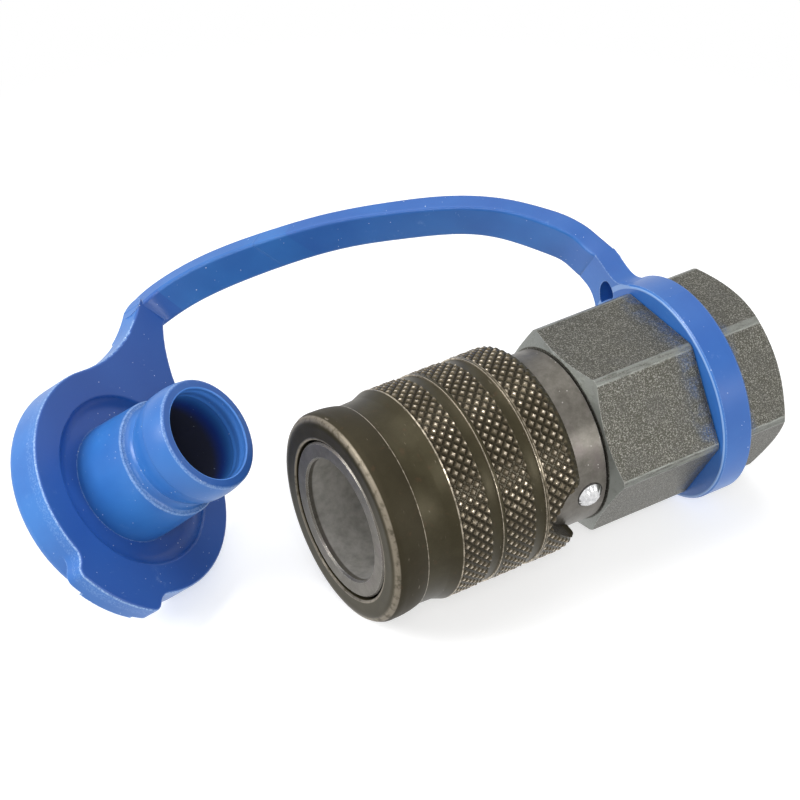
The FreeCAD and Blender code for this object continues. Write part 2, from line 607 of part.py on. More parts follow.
def front_plate():
    """Plate with stem and tab, its front edge rounded, its back stepped at the web and the tab."""
    plate = path_face(plate_outline(), in_disc).extrude(PLUG_AXIS * -PLATE_THICK)
    rim = []
    for edge in plate.Edges:
        points = [vertex.Point for vertex in edge.Vertexes] + [edge.CenterOfMass]
        in_front = max(abs((point - PLUG_CENTRE).dot(PLUG_AXIS)) for point in points) < 1e-4
        if in_front and (points[-1] - PLUG_CENTRE).Length < STEM_REACH - 0.1:
            rim.append(edge)
    plate = plate.makeFillet(PLATE_EDGE, rim)
    step = [(DISC_R - 2, -WEB_THICK), (WEB_REACH, -WEB_THICK), (WEB_REACH + 1, -PLATE_THICK - 1),
            (DISC_R - 2, -PLATE_THICK - 1)]
    side = PLUG_CENTRE - STEM_ACROSS * DISC_R
    behind_web = path_face(step, lambda reach, along: side + STEM_OUT * reach + PLUG_AXIS * along)
    spread = 2 * TAB_TURN
    corners = [on_circle(TAB_REACH + 6, TAB_ANGLE - spread), on_circle(TAB_REACH + 6, TAB_ANGLE + spread),
               on_circle(DISC_R - 4, TAB_ANGLE + spread), on_circle(DISC_R - 4, TAB_ANGLE - spread)]
    behind_tab = path_face(corners, lambda across, up: in_disc(across, up, -TAB_THICK))
    plate = plate.cut(behind_web.extrude(STEM_ACROSS * 2 * DISC_R))
    return plate.cut(behind_tab.extrude(PLUG_AXIS * -PLATE_THICK))


def about_plug(path):
    """Solid turned about the plug's axis from a closed path of (along, radius) points."""
    face = path_face(path, lambda along, radius: in_disc(radius, 0, along))
    return face.revolve(PLUG_CENTRE, PLUG_AXIS, 360)


def disc_back():
    """Thicker back of the disc with its rounded edge."""
    back = -DISC_THICK
    edge = DISC_BACK_EDGE
    mid = edge * (1 - math.sqrt(0.5))
    return about_plug([(back, 0), (back, DISC_R - edge), (back + mid, DISC_R - mid, back + edge, DISC_R),
                       (-PLATE_THICK / 2, DISC_R), (-PLATE_THICK / 2, 0)])


def recess():
    """Shallow recess round the plug, with a round fillet at its foot."""
    floor = -RECESS_DEPTH
    return about_plug([(1.0, 0), (1.0, RECESS_R + 0.6), (0, RECESS_R + 0.6),
                       (-0.18, RECESS_R + 0.18, -0.6, RECESS_R), (-1.6, RECESS_R - 1.1, floor, RECESS_R - 3),
                       (floor, 0)])


def hollow_plug():
    """Plug: slightly tapered base, shoulder, neck, bulge that snaps behind the balls, open end."""
    return about_plug([
        (-RECESS_DEPTH - 1, 0), (-RECESS_DEPTH - 1, PLUG_BASE_R), (1.0, PLUG_BASE_R),
        (PLUG_SHOULDER - 0.3, PLUG_SHOULDER_R), (PLUG_SHOULDER, PLUG_SHOULDER_R - 0.3),
        (13.1, PLUG_NECK_R + 0.4, 14.0, PLUG_NECK_R), (16.4, PLUG_NECK_R + 1.2, 19.7, PLUG_BULGE_R),
        (23.0, PLUG_BULGE_R - 0.1, 25.2, PLUG_LIP_R), (25.6, PLUG_LIP_R - 0.3, PLUG_END, PLUG_LIP_R - 0.7),
        (PLUG_END, PLUG_HOLLOW_R + 0.35), (25.6, PLUG_HOLLOW_R + 0.1, 25.3, PLUG_HOLLOW_R),
        (HOLLOW_FLOOR + 1.0, PLUG_HOLLOW_R - 0.45),
        (HOLLOW_FLOOR + 0.3, PLUG_HOLLOW_R - 1.1, HOLLOW_FLOOR, PLUG_HOLLOW_R - 2), (HOLLOW_FLOOR, 0)])


def dust_plug():
    """One moulding: ring, strap, fold, stem, disc, pull tab and hollow plug."""
    head = front_plate().fuse(disc_back()).cut(recess()).fuse(hollow_plug())
    return head.fuse([fold(), strap(), plug_ring()]).cut(root_hole())


def export(name, shape):
    """Write one piece, moved so that the straight bore starts at the origin."""
    shape.translate(V(-MOUTH_CHAMFER, 0, 0))
    solids = shape.Solids
    if len(solids) == 1:
        shape = solids[0]
    print(name, "solids", len(solids), "valid", shape.isValid(), "volume", round(shape.Volume, 1))
    shape.exportStep("parts/" + name + ".step")


os.makedirs("parts", exist_ok=True)
for make in (front_body, hex_body, knurled_sleeve, lock_pin, sleeve_stop_ring, spring_seat_ring,
             sleeve_spring, bore_o_ring, backup_ring, valve_poppet, poppet_seal, valve_spring,
             valve_guide, guide_circlip, body_o_ring, dust_plug):
    export(make.__name__, make())
for number, angle in enumerate(ball_angles(), start=1):
    export("lock_ball_" + str(number), Part.makeSphere(BALL_R, polar(BALL_STATION, BALL_CENTRE_R, angle)))
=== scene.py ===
import json
import math
from functools import reduce

import bmesh
import bpy
import numpy as np
from mathutils import Matrix, Vector


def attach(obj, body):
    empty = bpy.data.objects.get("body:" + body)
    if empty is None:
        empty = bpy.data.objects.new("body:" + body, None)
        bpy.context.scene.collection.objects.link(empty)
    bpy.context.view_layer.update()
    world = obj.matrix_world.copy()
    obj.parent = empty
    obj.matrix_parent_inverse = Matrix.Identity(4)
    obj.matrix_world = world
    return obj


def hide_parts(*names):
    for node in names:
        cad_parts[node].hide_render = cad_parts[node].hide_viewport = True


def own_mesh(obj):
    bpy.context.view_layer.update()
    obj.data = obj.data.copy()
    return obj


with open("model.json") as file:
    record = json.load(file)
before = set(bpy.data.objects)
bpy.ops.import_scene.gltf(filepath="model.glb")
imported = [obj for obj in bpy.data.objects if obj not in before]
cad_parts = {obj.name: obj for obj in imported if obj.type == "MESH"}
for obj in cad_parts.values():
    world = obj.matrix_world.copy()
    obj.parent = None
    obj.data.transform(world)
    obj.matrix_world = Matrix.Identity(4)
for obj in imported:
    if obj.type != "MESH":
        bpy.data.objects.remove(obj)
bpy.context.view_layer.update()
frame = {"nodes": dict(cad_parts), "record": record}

MM = 0.001
SCENE = bpy.context.scene
SCENE.view_settings.view_transform = "Standard"

# Camera, found from the photograph: place, directions to its right, up and back, lens and sensor in
# millimetres, and the nearest metres that it sees.
CAMERA_PLACE = Vector((-252.9, -441.3, 414.8)) * MM
CAMERA_RIGHT = Vector((0.8486, -0.5288, -0.0152))
CAMERA_UP = Vector((0.3287, 0.5045, 0.7984))
CAMERA_BACK = Vector((-0.4146, -0.6825, 0.6020))
CAMERA_LENS = 139.2
SENSOR_WIDTH = 36.0
NEAREST = 0.01

# Studio, in metres: the floor, the distances over which it turns plain white, and the strength of the room.
FLOOR_Z = -25.2 * MM
FLOOR_HALF = 3.0
FLOOR_MIDDLE = (0.02, 0.02, FLOOR_Z)
FLOOR_FADE = (0.12, 0.22)
ROOM_STRENGTH = 0.42

# Lamps: name, place and point lit in metres, width, and watts.
LAMPS = (("top", (0.1, 0.25, 1.15), (0.02, 0.02, 0.0), 1.0, 4.6),
         ("left", (-0.66, 0.22, 0.5), (0.0, 0.02, 0.0), 0.45, 6.5),
         ("front", (-0.30, -0.60, 0.66), (0.02, 0.0, 0.0), 0.30, 1.6),
         ("glint", (0.145, -0.236, 0.085), (0.041, -0.020, 0.012), 0.08, 0.17))

# All sizes below are millimetres. Stations run from the front edge of the socket body, and the frame's
# zero lies behind it by this much.
ZERO = 0.4

# Outside of the sleeve: end faces, end of the rim, ends of the plain band, and radii of the knurl, rim,
# plain band, grooves and collars.
SLEEVE_FRONT = -0.2
SLEEVE_BACK = 46.8
RIM_END = 8.0
BAND_START = 8.5
BAND_END = 13.2
KNURL_R = 23.85
RIM_R = KNURL_R - 0.25
BAND_R = KNURL_R - 1.2
GROOVE_R = KNURL_R - 0.45
COLLAR_R = KNURL_R - 0.1

# Grooves: front, back edge, and end of the collar behind.
GROOVE_WIDTH = 2.75
COLLAR_WIDTH = 0.8
GROOVES = [(front, front + GROOVE_WIDTH, front + GROOVE_WIDTH + COLLAR_WIDTH) for front in (23.3, 34.2)]

# Knurl: where it starts and where the tail curves inward, depth, pyramids around, pitch, points for each
# pyramid, share of a full pyramid's height that is left under its flat tip, points of the tail, and how
# many of them the knurl takes to run out.
KNURL_START = 16.2
TAIL_START = 43.9
KNURL_DEPTH = 0.58
KNURL_AROUND = 58
KNURL_PITCH = 2.45
SAMPLES = 8
TIP_SHARE = 0.81
TAIL_STEPS = 16
TAIL_FADE = 11

# Inside of the sleeve: mouth, land on the balls, stop lip, relief and cam of the balls, and spring chamber
# with its front and a row of points on its wall.
MOUTH_R = 18.05
MOUTH_BACK = 1.1
LAND_R = 17.58
LIP_FRONT = 5.7
LIP_BACK = 6.6
RELIEF_R = 18.9
CAM_START = 8.7
LAND_START = 15.3
CHAMBER_R = 19.73
CHAMBER_START = 23.5
CHAMBER_MIDDLE = 35.0

# Lock notch: angle, outline as distances ahead of the sleeve's back and to the side, where the outline closes
# behind the sleeve, and the radii from which to which it is cut.
NOTCH_ANGLE = 188.0
NOTCH = [(-3.2, -9.2), (1.0, -7.95), (3.65, -6.85), (5.83, -4.5), (7.85, -1.3),
         (7.9, 0.5), (6.6, 2.6), (4.3, 4.75), (1.6, 6.9), (-0.2, 7.9), (-1.2, 8.9), (-2.7, 11.5)]
NOTCH_OPEN = -8.0
NOTCH_RADII = (15.6, 27.7)

# Socket body and lock pin: bore, barrel, the pin's place and radius, how far out its side of the body
# begins, and the facets round its dome.
BORE_R = 13.8
BARREL_R = 19.65
BARREL_START = 41.0
PIN_ANGLE = 186.4
PIN_STATION = 51.0
PIN_R = 2.95
PIN_SIDE = (10.0, 12.0)
PIN_FACETS = 9

# Hexagon: radii of its flats, turned end faces and corners, and stations of the groove for the plug's ring.
HEX_FLAT_R = 20.5
HEX_FACE_R = 19.95
HEX_CORNER_R = 23.3
RING_GROOVE = (82.4, 90.4)

# Thread of the rear port: hole radius, first and last station, pitch, heights of the ridge's crest and root
# over the wall, half widths of root and crest in pitches, and sections for each turn.
PORT_R = 12.06
PORT_START = 84.2
PORT_END = 100.6
PORT_PITCH = 1.814
PORT_RIDGE = 0.62
PORT_ROOT = -0.06
PORT_HALF = 0.45
PORT_CREST_HALF = 0.1
PORT_STEPS = 56

# Springs: front end of the sleeve's spring, ends of the valve's spring, sections for each turn of a coil, and
# sides of its wire.
SPRING_START = CHAMBER_START + 0.8
VALVE_HEAD_BACK = 31.6
VALVE_GUIDE_FRONT = 50.0
COIL_STEPS = 48
WIRE_SIDES = 12

# Plug: centre of the disc's face, the way in which the plug points, and sizes along and across that way.
# The hollow is painted with shade deep inside and with light near its mouth, over three stretches. The last
# two sizes are the front and the outside of the ring that lies round the hexagon.
PLUG_CENTRE = Vector((-30.16 - ZERO, 36.2, 0.13))
PLUG_AXIS = Vector((0.4389, -0.5861, 0.6810)).normalized()
PLUG_SHOULDER = 12.4
PLUG_BULGE = 19.7
PLUG_END = 25.7
HOLLOW_R = 10.35
HOLLOW_FLOOR = 3.0
HOLLOW_DARKEST_SHADE = (14.5, 18.5)
HOLLOW_SHADED = (17.5, 21.0)
HOLLOW_LIT = (19.5, 23.5)
RIDGE_PITCH = 2.3
DISC_R = 26.3
RING_FRONT = 82.64
RING_R = 25.2


def link(name, data):
    """Object with that data, in the scene."""
    made = bpy.data.objects.new(name, data)
    SCENE.collection.objects.link(made)
    return made


def make_camera():
    data = bpy.data.cameras.new("camera")
    data.lens = CAMERA_LENS
    data.sensor_width = SENSOR_WIDTH
    data.clip_start = NEAREST
    camera = link("camera", data)
    turn = Matrix((CAMERA_RIGHT, CAMERA_UP, CAMERA_BACK)).transposed().to_4x4()
    camera.matrix_world = Matrix.Translation(CAMERA_PLACE) @ turn
    SCENE.camera = camera


def make_lamp(name, place, target, width, watts):
    data = bpy.data.lights.new(name, "AREA")
    data.shape = "DISK"
    data.size = width
    data.energy = watts
    lamp = link(name, data)
    lamp.visible_camera = False
    lamp.location = Vector(place)
    lamp.rotation_euler = (Vector(target) - Vector(place)).to_track_quat("-Z", "Y").to_euler()


def reflected(tree, share):
    """The share, raised to 1 for rays that come by a mirror reflection or through glass."""
    path = tree.nodes.new("ShaderNodeLightPath")
    for ray in ("Is Glossy Ray", "Is Transmission Ray"):
        larger = tree.nodes.new("ShaderNodeMath")
        larger.operation = "MAXIMUM"
        tree.links.new(share, larger.inputs[0])
        tree.links.new(path.outputs[ray], larger.inputs[1])
        share = larger.outputs[0]
    return share


def blend(tree, share, near, far, end):
    """Mixes two shaders by the share of the second, into the tree's end."""
    mix = tree.nodes.new("ShaderNodeMixShader")
    for source, socket in zip((share, near, far), mix.inputs):
        tree.links.new(source, socket)
    tree.links.new(mix.outputs[0], end.inputs["Surface"])


def background(tree, strength):
    shade = tree.nodes.new("ShaderNodeBackground")
    shade.inputs["Color"].default_value = (1, 1, 1, 1)
    shade.inputs["Strength"].default_value = strength
    return shade.outputs[0]


def make_world():
    """White studio: white to the camera and in mirror reflections, a soft grey room as a light."""
    world = bpy.data.worlds.new("studio")
    SCENE.world = world
    world.use_nodes = True
    tree = world.node_tree
    tree.nodes.clear()
    seen = tree.nodes.new("ShaderNodeLightPath").outputs["Is Camera Ray"]
    blend(tree, reflected(tree, seen), background(tree, ROOM_STRENGTH), background(tree, 1.0),
          tree.nodes.new("ShaderNodeOutputWorld"))


def make_floor():
    """White floor that keeps the shadow near the object and turns plain white further out."""
    mesh = bpy.data.meshes.new("floor")
    half = FLOOR_HALF
    corners = [(x, y, FLOOR_Z) for x, y in ((-half, -half), (half, -half), (half, half), (-half, half))]
    mesh.from_pydata(corners, [], [(0, 1, 2, 3)])
    floor = link("floor", mesh)
    material = bpy.data.materials.new("floor_white")
    material.use_nodes = True
    tree = material.node_tree
    near = tree.nodes["Principled BSDF"]
    for name, value in (("Base Color", (0.62, 0.62, 0.62, 1)), ("Roughness", 0.9),
                        ("Specular IOR Level", 0.1), ("Emission Color", (1, 1, 1, 1)),
                        ("Emission Strength", 0.6)):
        near.inputs[name].default_value = value
    far = tree.nodes.new("ShaderNodeEmission")
    far.inputs["Strength"].default_value = 1.0
    place = tree.nodes.new("ShaderNodeTexCoord")
    distance = tree.nodes.new("ShaderNodeVectorMath")
    distance.operation = "DISTANCE"
    distance.inputs[1].default_value = FLOOR_MIDDLE
    away = tree.nodes.new("ShaderNodeMapRange")
    away.interpolation_type = "SMOOTHSTEP"
    for i, value in enumerate(FLOOR_FADE, start=1):
        away.inputs[i].default_value = value
    tree.links.new(place.outputs["Object"], distance.inputs[0])
    tree.links.new(distance.outputs["Value"], away.inputs[0])
    blend(tree, reflected(tree, away.outputs[0]), near.outputs[0], far.outputs[0],
          tree.nodes["Material Output"])
    mesh.materials.append(material)


class Look:
    """A finish built from nodes, in the millimetres of the piece itself."""

    def __init__(self, name):
        self.material = bpy.data.materials.new(name)
        self.material.use_nodes = True
        self.tree = self.material.node_tree
        self.normal = self.node("ShaderNodeTexCoord", output="Normal")
        self.place = self.vector("SCALE", self.node("ShaderNodeTexCoord", output="Object"), scale=1 / MM)
        x, y, z = self.split(self.place)
        self.station = self.math("ADD", x, ZERO)
        self.radius = self.hypot(y, z)

    def feed(self, socket, value):
        """Links another socket to this one, or sets a number, vector or colour on it."""
        if isinstance(value, bpy.types.NodeSocket):
            self.tree.links.new(value, socket)
        elif isinstance(value, tuple) and socket.type == "RGBA":
            socket.default_value = (*value, 1)
        else:
            socket.default_value = value

    def node(self, kind, *inputs, output=0, **settings):
        """Output of a new node with these inputs, from the first on, and settings."""
        node = self.tree.nodes.new(kind)
        for name, value in settings.items():
            setattr(node, name, value)
        for i, value in enumerate(inputs):
            if value is not None:
                self.feed(node.inputs[i], value)
        return node.outputs[output]

    def math(self, operation, a, b=0.0):
        return self.node("ShaderNodeMath", a, b, operation=operation)

    def vector(self, operation, a, b=None, scale=None):
        return self.node("ShaderNodeVectorMath", a, b, None, scale, operation=operation)

    def length(self, vector):
        return self.node("ShaderNodeVectorMath", vector, operation="LENGTH", output="Value")

    def along(self, vector, direction):
        """How far the vector reaches in the direction."""
        return self.node("ShaderNodeVectorMath", vector, direction, operation="DOT_PRODUCT", output="Value")

    def split(self, vector):
        node = self.tree.nodes.new("ShaderNodeSeparateXYZ")
        self.feed(node.inputs[0], vector)
        return node.outputs[0], node.outputs[1], node.outputs[2]

    def hypot(self, a, b):
        return self.math("SQRT", self.math("ADD", self.both(a, a), self.both(b, b)))

    def step(self, value, low, high, bottom=0.0, top=1.0):
        """Smooth step of a value from low to high."""
        return self.node("ShaderNodeMapRange", value, low, high, bottom, top, interpolation_type="SMOOTHSTEP")

    def band(self, value, low, high, soft=0.1):
        """1 between low and high, 0 outside, with soft ends."""
        return self.both(self.step(value, low - soft, low), self.step(value, high, high + soft, 1, 0))

    def either(self, *masks):
        """Largest of the masks."""
        return reduce(lambda a, b: self.math("MAXIMUM", a, b), masks)

    def both(self, *masks):
        """Product of masks and numbers."""
        return reduce(lambda a, b: self.math("MULTIPLY", a, b), masks)

    def mix(self, share, a, b):
        """Blend of two colours, which are inputs 6 and 7 and output 2 of the node."""
        unused = [None] * 5
        return self.node("ShaderNodeMix", share, *unused, a, b, data_type="RGBA", output=2)

    def lerp(self, share, a, b):
        """Blend of two numbers."""
        return self.node("ShaderNodeMapRange", share, 0.0, 1.0, a, b)

    def noise(self, size, detail=2.0, rough=0.5, stretch=None):
        """Noise whose blobs are about size millimetres, stretched by factors along the axes."""
        node = self.tree.nodes.new("ShaderNodeTexNoise")
        node.inputs["Scale"].default_value = 1.0 / size
        node.inputs["Detail"].default_value = detail
        node.inputs["Roughness"].default_value = rough
        place = self.place
        if stretch:
            place = self.vector("MULTIPLY", place, tuple(1 / s for s in stretch))
        self.tree.links.new(place, node.inputs["Vector"])
        return node.outputs[0]

    def specks(self, size, share, radius):
        """Round specks in a share of the cells of a cellular pattern of that size."""
        node = self.tree.nodes.new("ShaderNodeTexVoronoi")
        node.inputs["Scale"].default_value = 1.0 / size
        self.tree.links.new(self.place, node.inputs["Vector"])
        chance = self.split(node.outputs["Color"])[0]
        near = self.step(node.outputs["Distance"], radius * 0.6, radius, 1, 0)
        return self.both(near, self.step(chance, share - 0.002, share + 0.002, 1, 0))

    def bump(self, height, distance, strength=1.0, under=None):
        """Normal bumped by a height that is worth that many millimetres, over another bumped normal."""
        node = self.tree.nodes.new("ShaderNodeBump")
        node.inputs["Strength"].default_value = strength
        node.inputs["Distance"].default_value = distance * MM
        self.feed(node.inputs["Height"], height)
        if under is not None:
            self.tree.links.new(under, node.inputs["Normal"])
        return node.outputs[0]

    def edges(self, radius, low, high):
        """1 along sharp edges, found from how far a rounded normal leans away from the plain one."""
        rounded = self.node("ShaderNodeBevel", radius * MM, samples=6)
        plain = self.node("ShaderNodeNewGeometry", output="Normal")
        return self.step(self.along(rounded, plain), low, high, 1, 0)

    def around_pin(self):
        """Angle about the lock pin's axis, distance from that axis, and 1 on the pin's side of the barrel."""
        turn = math.radians(PIN_ANGLE)
        ahead = self.math("SUBTRACT", self.station, PIN_STATION)
        side = self.along(self.place, (0, -math.sin(turn), math.cos(turn)))
        outward = self.along(self.place, (0, math.cos(turn), math.sin(turn)))
        on_side = self.both(self.step(outward, *PIN_SIDE),
                            self.step(self.station, BARREL_START - 1.0, BARREL_START))
        return self.math("ARCTAN2", side, ahead), self.hypot(ahead, side), on_side

    def finish(self, colour, roughness, normal, metallic=0.0, specular=0.5):
        """Feeds the shader and returns the material."""
        shader = self.tree.nodes["Principled BSDF"]
        for name, value in (("Base Color", colour), ("Roughness", roughness), ("Normal", normal),
                            ("Metallic", metallic), ("Specular IOR Level", specular)):
            self.feed(shader.inputs[name], value)
        return self.material


def phosphate_look():
    """Grainy grey phosphate with painted sparkle on its crystals: smooth turned ends and corners, worn edges,
    blue rubbed off by the ring.
    """
    look = Look("phosphate")
    dark_grain = (0.062, 0.060, 0.047)
    pale_grain = (0.265, 0.258, 0.228)
    dull_patch = (0.086, 0.084, 0.078)
    crystal_sparkle = (0.36, 0.36, 0.33)
    machined = (0.225, 0.235, 0.215)
    blue_smear = (0.05, 0.105, 0.24)
    bare_steel = (0.40, 0.40, 0.37)

    fine = look.noise(0.3, 2, 0.8)
    patch = look.noise(5.0, 3, 0.6)
    colour = look.mix(look.step(fine, 0.49, 0.64), dark_grain, pale_grain)
    colour = look.mix(look.step(patch, 0.35, 0.75, 0, 0.35), colour, dull_patch)
    # Painted sparkle: bright specks stand in for glints off the phosphate crystals.
    spark = look.both(look.specks(0.6, 0.22, 0.3), look.step(look.noise(1.6, 2), 0.35, 0.6))
    colour = look.mix(look.both(spark, 0.7), colour, crystal_sparkle)

    end_facing = look.math("ABSOLUTE", look.split(look.normal)[0])
    turned = look.both(look.band(end_facing, 0.25, 0.96, 0.05),
                       look.step(look.radius, HEX_FACE_R - 0.05, HEX_FACE_R + 0.15))
    corner = look.both(look.step(look.radius, HEX_CORNER_R - 0.22, HEX_CORNER_R - 0.1),
                       look.step(end_facing, 0.1, 0.2, 1, 0))
    smooth = look.either(look.both(turned, look.step(look.noise(1.5), 0.2, 0.5, 0.6, 0.95)),
                         look.both(corner, look.step(look.noise(0.7, 3, 0.6, (6, 1, 1)), 0.3, 0.6, 0.3, 0.9)))
    colour = look.mix(smooth, colour, machined)

    front, back = RING_GROOVE
    rubbed = look.either(look.band(look.station, front - 0.5, front + 0.2, 5.5),
                         look.band(look.station, back - 0.2, back + 0.6, 2.5))
    rubbed = look.both(rubbed, look.step(look.noise(0.35, 3, 0.7), 0.35, 0.62),
                       look.step(look.noise(4.0, 2), 0.35, 0.6),
                       look.step(look.radius, HEX_FLAT_R - 1.0, HEX_FLAT_R - 0.2), 0.7)
    colour = look.mix(rubbed, colour, blue_smear)
    worn = look.both(look.edges(0.3, 0.88, 0.985), look.step(look.noise(0.9, 3), 0.36, 0.55))
    colour = look.mix(worn, colour, bare_steel)
    bumps = look.bump(fine, 0.10, 1.0)
    bumps = look.bump(look.noise(1.1, 2), 0.06, 0.5, bumps)
    roughness = look.lerp(look.either(worn, smooth), 0.41, 0.30)
    return look.finish(colour, roughness, bumps, metallic=0.62, specular=0.35)


def body_look():
    """Satin steel of the socket body: mottled, with turning lines, a pale bore and a painted shadow round the
    pin.
    """
    look = Look("body_steel")
    dark_steel = (0.105, 0.096, 0.080)
    pale_steel = (0.158, 0.146, 0.126)
    reddish = (0.135, 0.108, 0.108)
    bright_speck = (0.5, 0.48, 0.44)
    fine_mottle = (0.20, 0.187, 0.165)
    bore_steel = (0.54, 0.525, 0.49)
    bare_steel = (0.55, 0.53, 0.49)
    shadow = (0.014, 0.012, 0.010)

    fine = look.noise(0.5, 3, 0.75)
    patch = look.noise(2.6, 4, 0.65)
    colour = look.mix(look.step(patch, 0.3, 0.72), dark_steel, pale_steel)
    colour = look.mix(look.step(look.noise(5.0, 2), 0.5, 0.75, 0, 0.45), colour, reddish)
    colour = look.mix(look.specks(0.8, 0.07, 0.2), colour, bright_speck)
    colour = look.mix(look.step(fine, 0.5, 0.75, 0, 0.35), colour, fine_mottle)
    bore = look.both(look.step(look.radius, BORE_R + 1.2, BORE_R + 1.5, 1, 0),
                     look.step(look.station, 1.2, 1.6))
    colour = look.mix(look.both(bore, look.step(patch, 0.2, 0.8, 0.5, 1)), colour, bore_steel)
    worn = look.both(look.edges(0.2, 0.86, 0.98), look.step(look.noise(0.9, 3), 0.3, 0.5))
    colour = look.mix(worn, colour, bare_steel)
    # Painted shadow: a dark ring is painted round the lock pin, where its gap lies in shade.
    reach, on_side = look.around_pin()[1:]
    pin_gap_shadow = look.both(look.band(reach, PIN_R - 0.05, PIN_R + 0.19, 0.1), on_side, 0.9)
    colour = look.mix(pin_gap_shadow, colour, shadow)

    turning = look.noise(0.22, 2, 0.5, (1, 30, 30))
    bumps = look.bump(fine, 0.05, 0.6, look.bump(turning, 0.01, 0.5))
    return look.finish(colour, look.lerp(fine, 0.3, 0.48), bumps, metallic=0.6)


def sleeve_look():
    """Olive-brown oiled phosphate, rubbed bright on the knurl's tips and along the edges, where tips and rim
    also carry painted highlights; painted shade in the knurl's valleys and on the rim's band, painted light
    up the knurl's flanks.
    """
    look = Look("sleeve_steel")
    dark_olive = (0.033, 0.0265, 0.0115)
    pale_olive = (0.042, 0.035, 0.0165)
    dry_oil = (0.066, 0.057, 0.040)
    rim_shade_olive = (0.024, 0.018, 0.008)
    rusty = (0.07, 0.038, 0.018)
    valley_shade_olive = (0.024, 0.019, 0.009)
    flank_light_olive = (0.118, 0.093, 0.060)
    bare_steel = (0.62, 0.54, 0.43)

    fine = look.noise(0.3, 3, 0.65)
    patch = look.noise(4.0, 3, 0.6)
    colour = look.mix(look.step(patch, 0.3, 0.72), dark_olive, pale_olive)
    colour = look.mix(look.step(fine, 0.55, 0.8, 0, 0.4), colour, dry_oil)
    # Painted shade: the rim's band is darkened to tone down the lamps' highlight on it.
    rim_shade_band = look.both(look.band(look.station, 0.6, RIM_END - 0.4, 0.4), 0.5)
    colour = look.mix(rim_shade_band, colour, rim_shade_olive)
    rust = look.both(look.step(look.noise(2.2, 3, 0.6), 0.6, 0.72),
                     look.step(look.radius, BAND_R - 0.65, BAND_R - 0.15))
    colour = look.mix(look.both(rust, 0.3), colour, rusty)

    (first, first_edge, first_end), (second, second_edge, second_end) = GROOVES
    knurled = look.either(look.band(look.station, KNURL_START + 0.2, first - 0.1),
                          look.band(look.station, first_end + 0.1, second - 0.1),
                          look.band(look.station, second_end + 0.1, TAIL_START + 0.7, 0.8))
    # Painted shade in the knurl's valleys, and painted light up its flanks and tips.
    valley_shade = look.both(knurled, look.step(look.radius, KNURL_R - 0.55, KNURL_R - 0.2, 1, 0))
    colour = look.mix(valley_shade, colour, valley_shade_olive)
    flank_light = look.both(knurled, look.step(look.radius, KNURL_R - 0.5, KNURL_R - 0.1))
    colour = look.mix(look.both(flank_light, 0.75), colour, flank_light_olive)
    # Tips: real wear, with painted highlights on top of it.
    tip_wear_and_highlight = look.both(knurled, look.step(look.radius, KNURL_R - 0.17, KNURL_R - 0.04),
                     look.step(look.noise(1.2, 3), 0.38, 0.6, 0.12, 1))

    # Rim: wear at the front edge and the mouth, partly a painted highlight.
    rim = look.either(look.both(look.band(look.station, 0.15, 0.7, 0.3),
                                look.step(look.radius, RIM_R - 2.0, RIM_R - 1.7)),
                      look.both(look.band(look.radius, MOUTH_R + 0.15, MOUTH_R + 0.55, 0.15),
                                look.step(look.station, 0.1, 0.4, 1, 0)))
    rim = look.both(rim, look.step(look.noise(1.6, 3, 0.6), 0.3, 0.55, 0.2, 0.6))
    rim_line = look.both(look.band(look.station, RIM_END - 0.15, RIM_END + 0.06, 0.08),
                         look.step(look.radius, BAND_R + 0.05, BAND_R + 0.15), 0.6)
    knurl_line = look.both(look.band(look.station, KNURL_START - 0.2, KNURL_START + 0.1, 0.12), 0.7)
    lines = look.either(rim_line, knurl_line, *(look.band(look.station, edge - 0.02, edge + 0.08, 0.04)
                                                for edge in (first_edge, second_edge)))
    lines = look.both(lines, look.step(look.noise(1.1, 3, 0.6), 0.34, 0.6, 0.3, 1),
                      look.step(look.radius, MOUTH_R + 0.05, MOUTH_R + 0.15))
    scuff = look.both(look.step(look.noise(0.5, 3, 0.6, (1, 7, 7)), 0.68, 0.76),
                      look.step(look.radius, BAND_R - 0.25, BAND_R - 0.05))
    # Worn: real wear on the lines and scuffs; wear with painted highlights on the tips and rim.
    worn = look.either(look.both(tip_wear_and_highlight, 0.95), look.both(rim, 0.5), lines, look.both(scuff, 0.25))
    colour = look.mix(worn, colour, bare_steel)

    bumps = look.bump(look.noise(0.3, 2, 0.5, (1, 40, 40)), 0.01, 0.5)
    bumps = look.bump(fine, 0.014, 0.6, bumps)
    bumps = look.bump(look.both(look.noise(0.5, 3, 0.7), knurled), 0.04, 1.0, bumps)
    dull = look.both(look.band(look.station, 0.3, RIM_END - 0.4, 0.4), 0.16)
    roughness = look.math("ADD", dull, look.lerp(look.either(worn, look.both(knurled, 0.7)), 0.40, 0.15))
    return look.finish(colour, roughness, bumps, metallic=look.lerp(worn, 0.5, 1.0), specular=0.3)


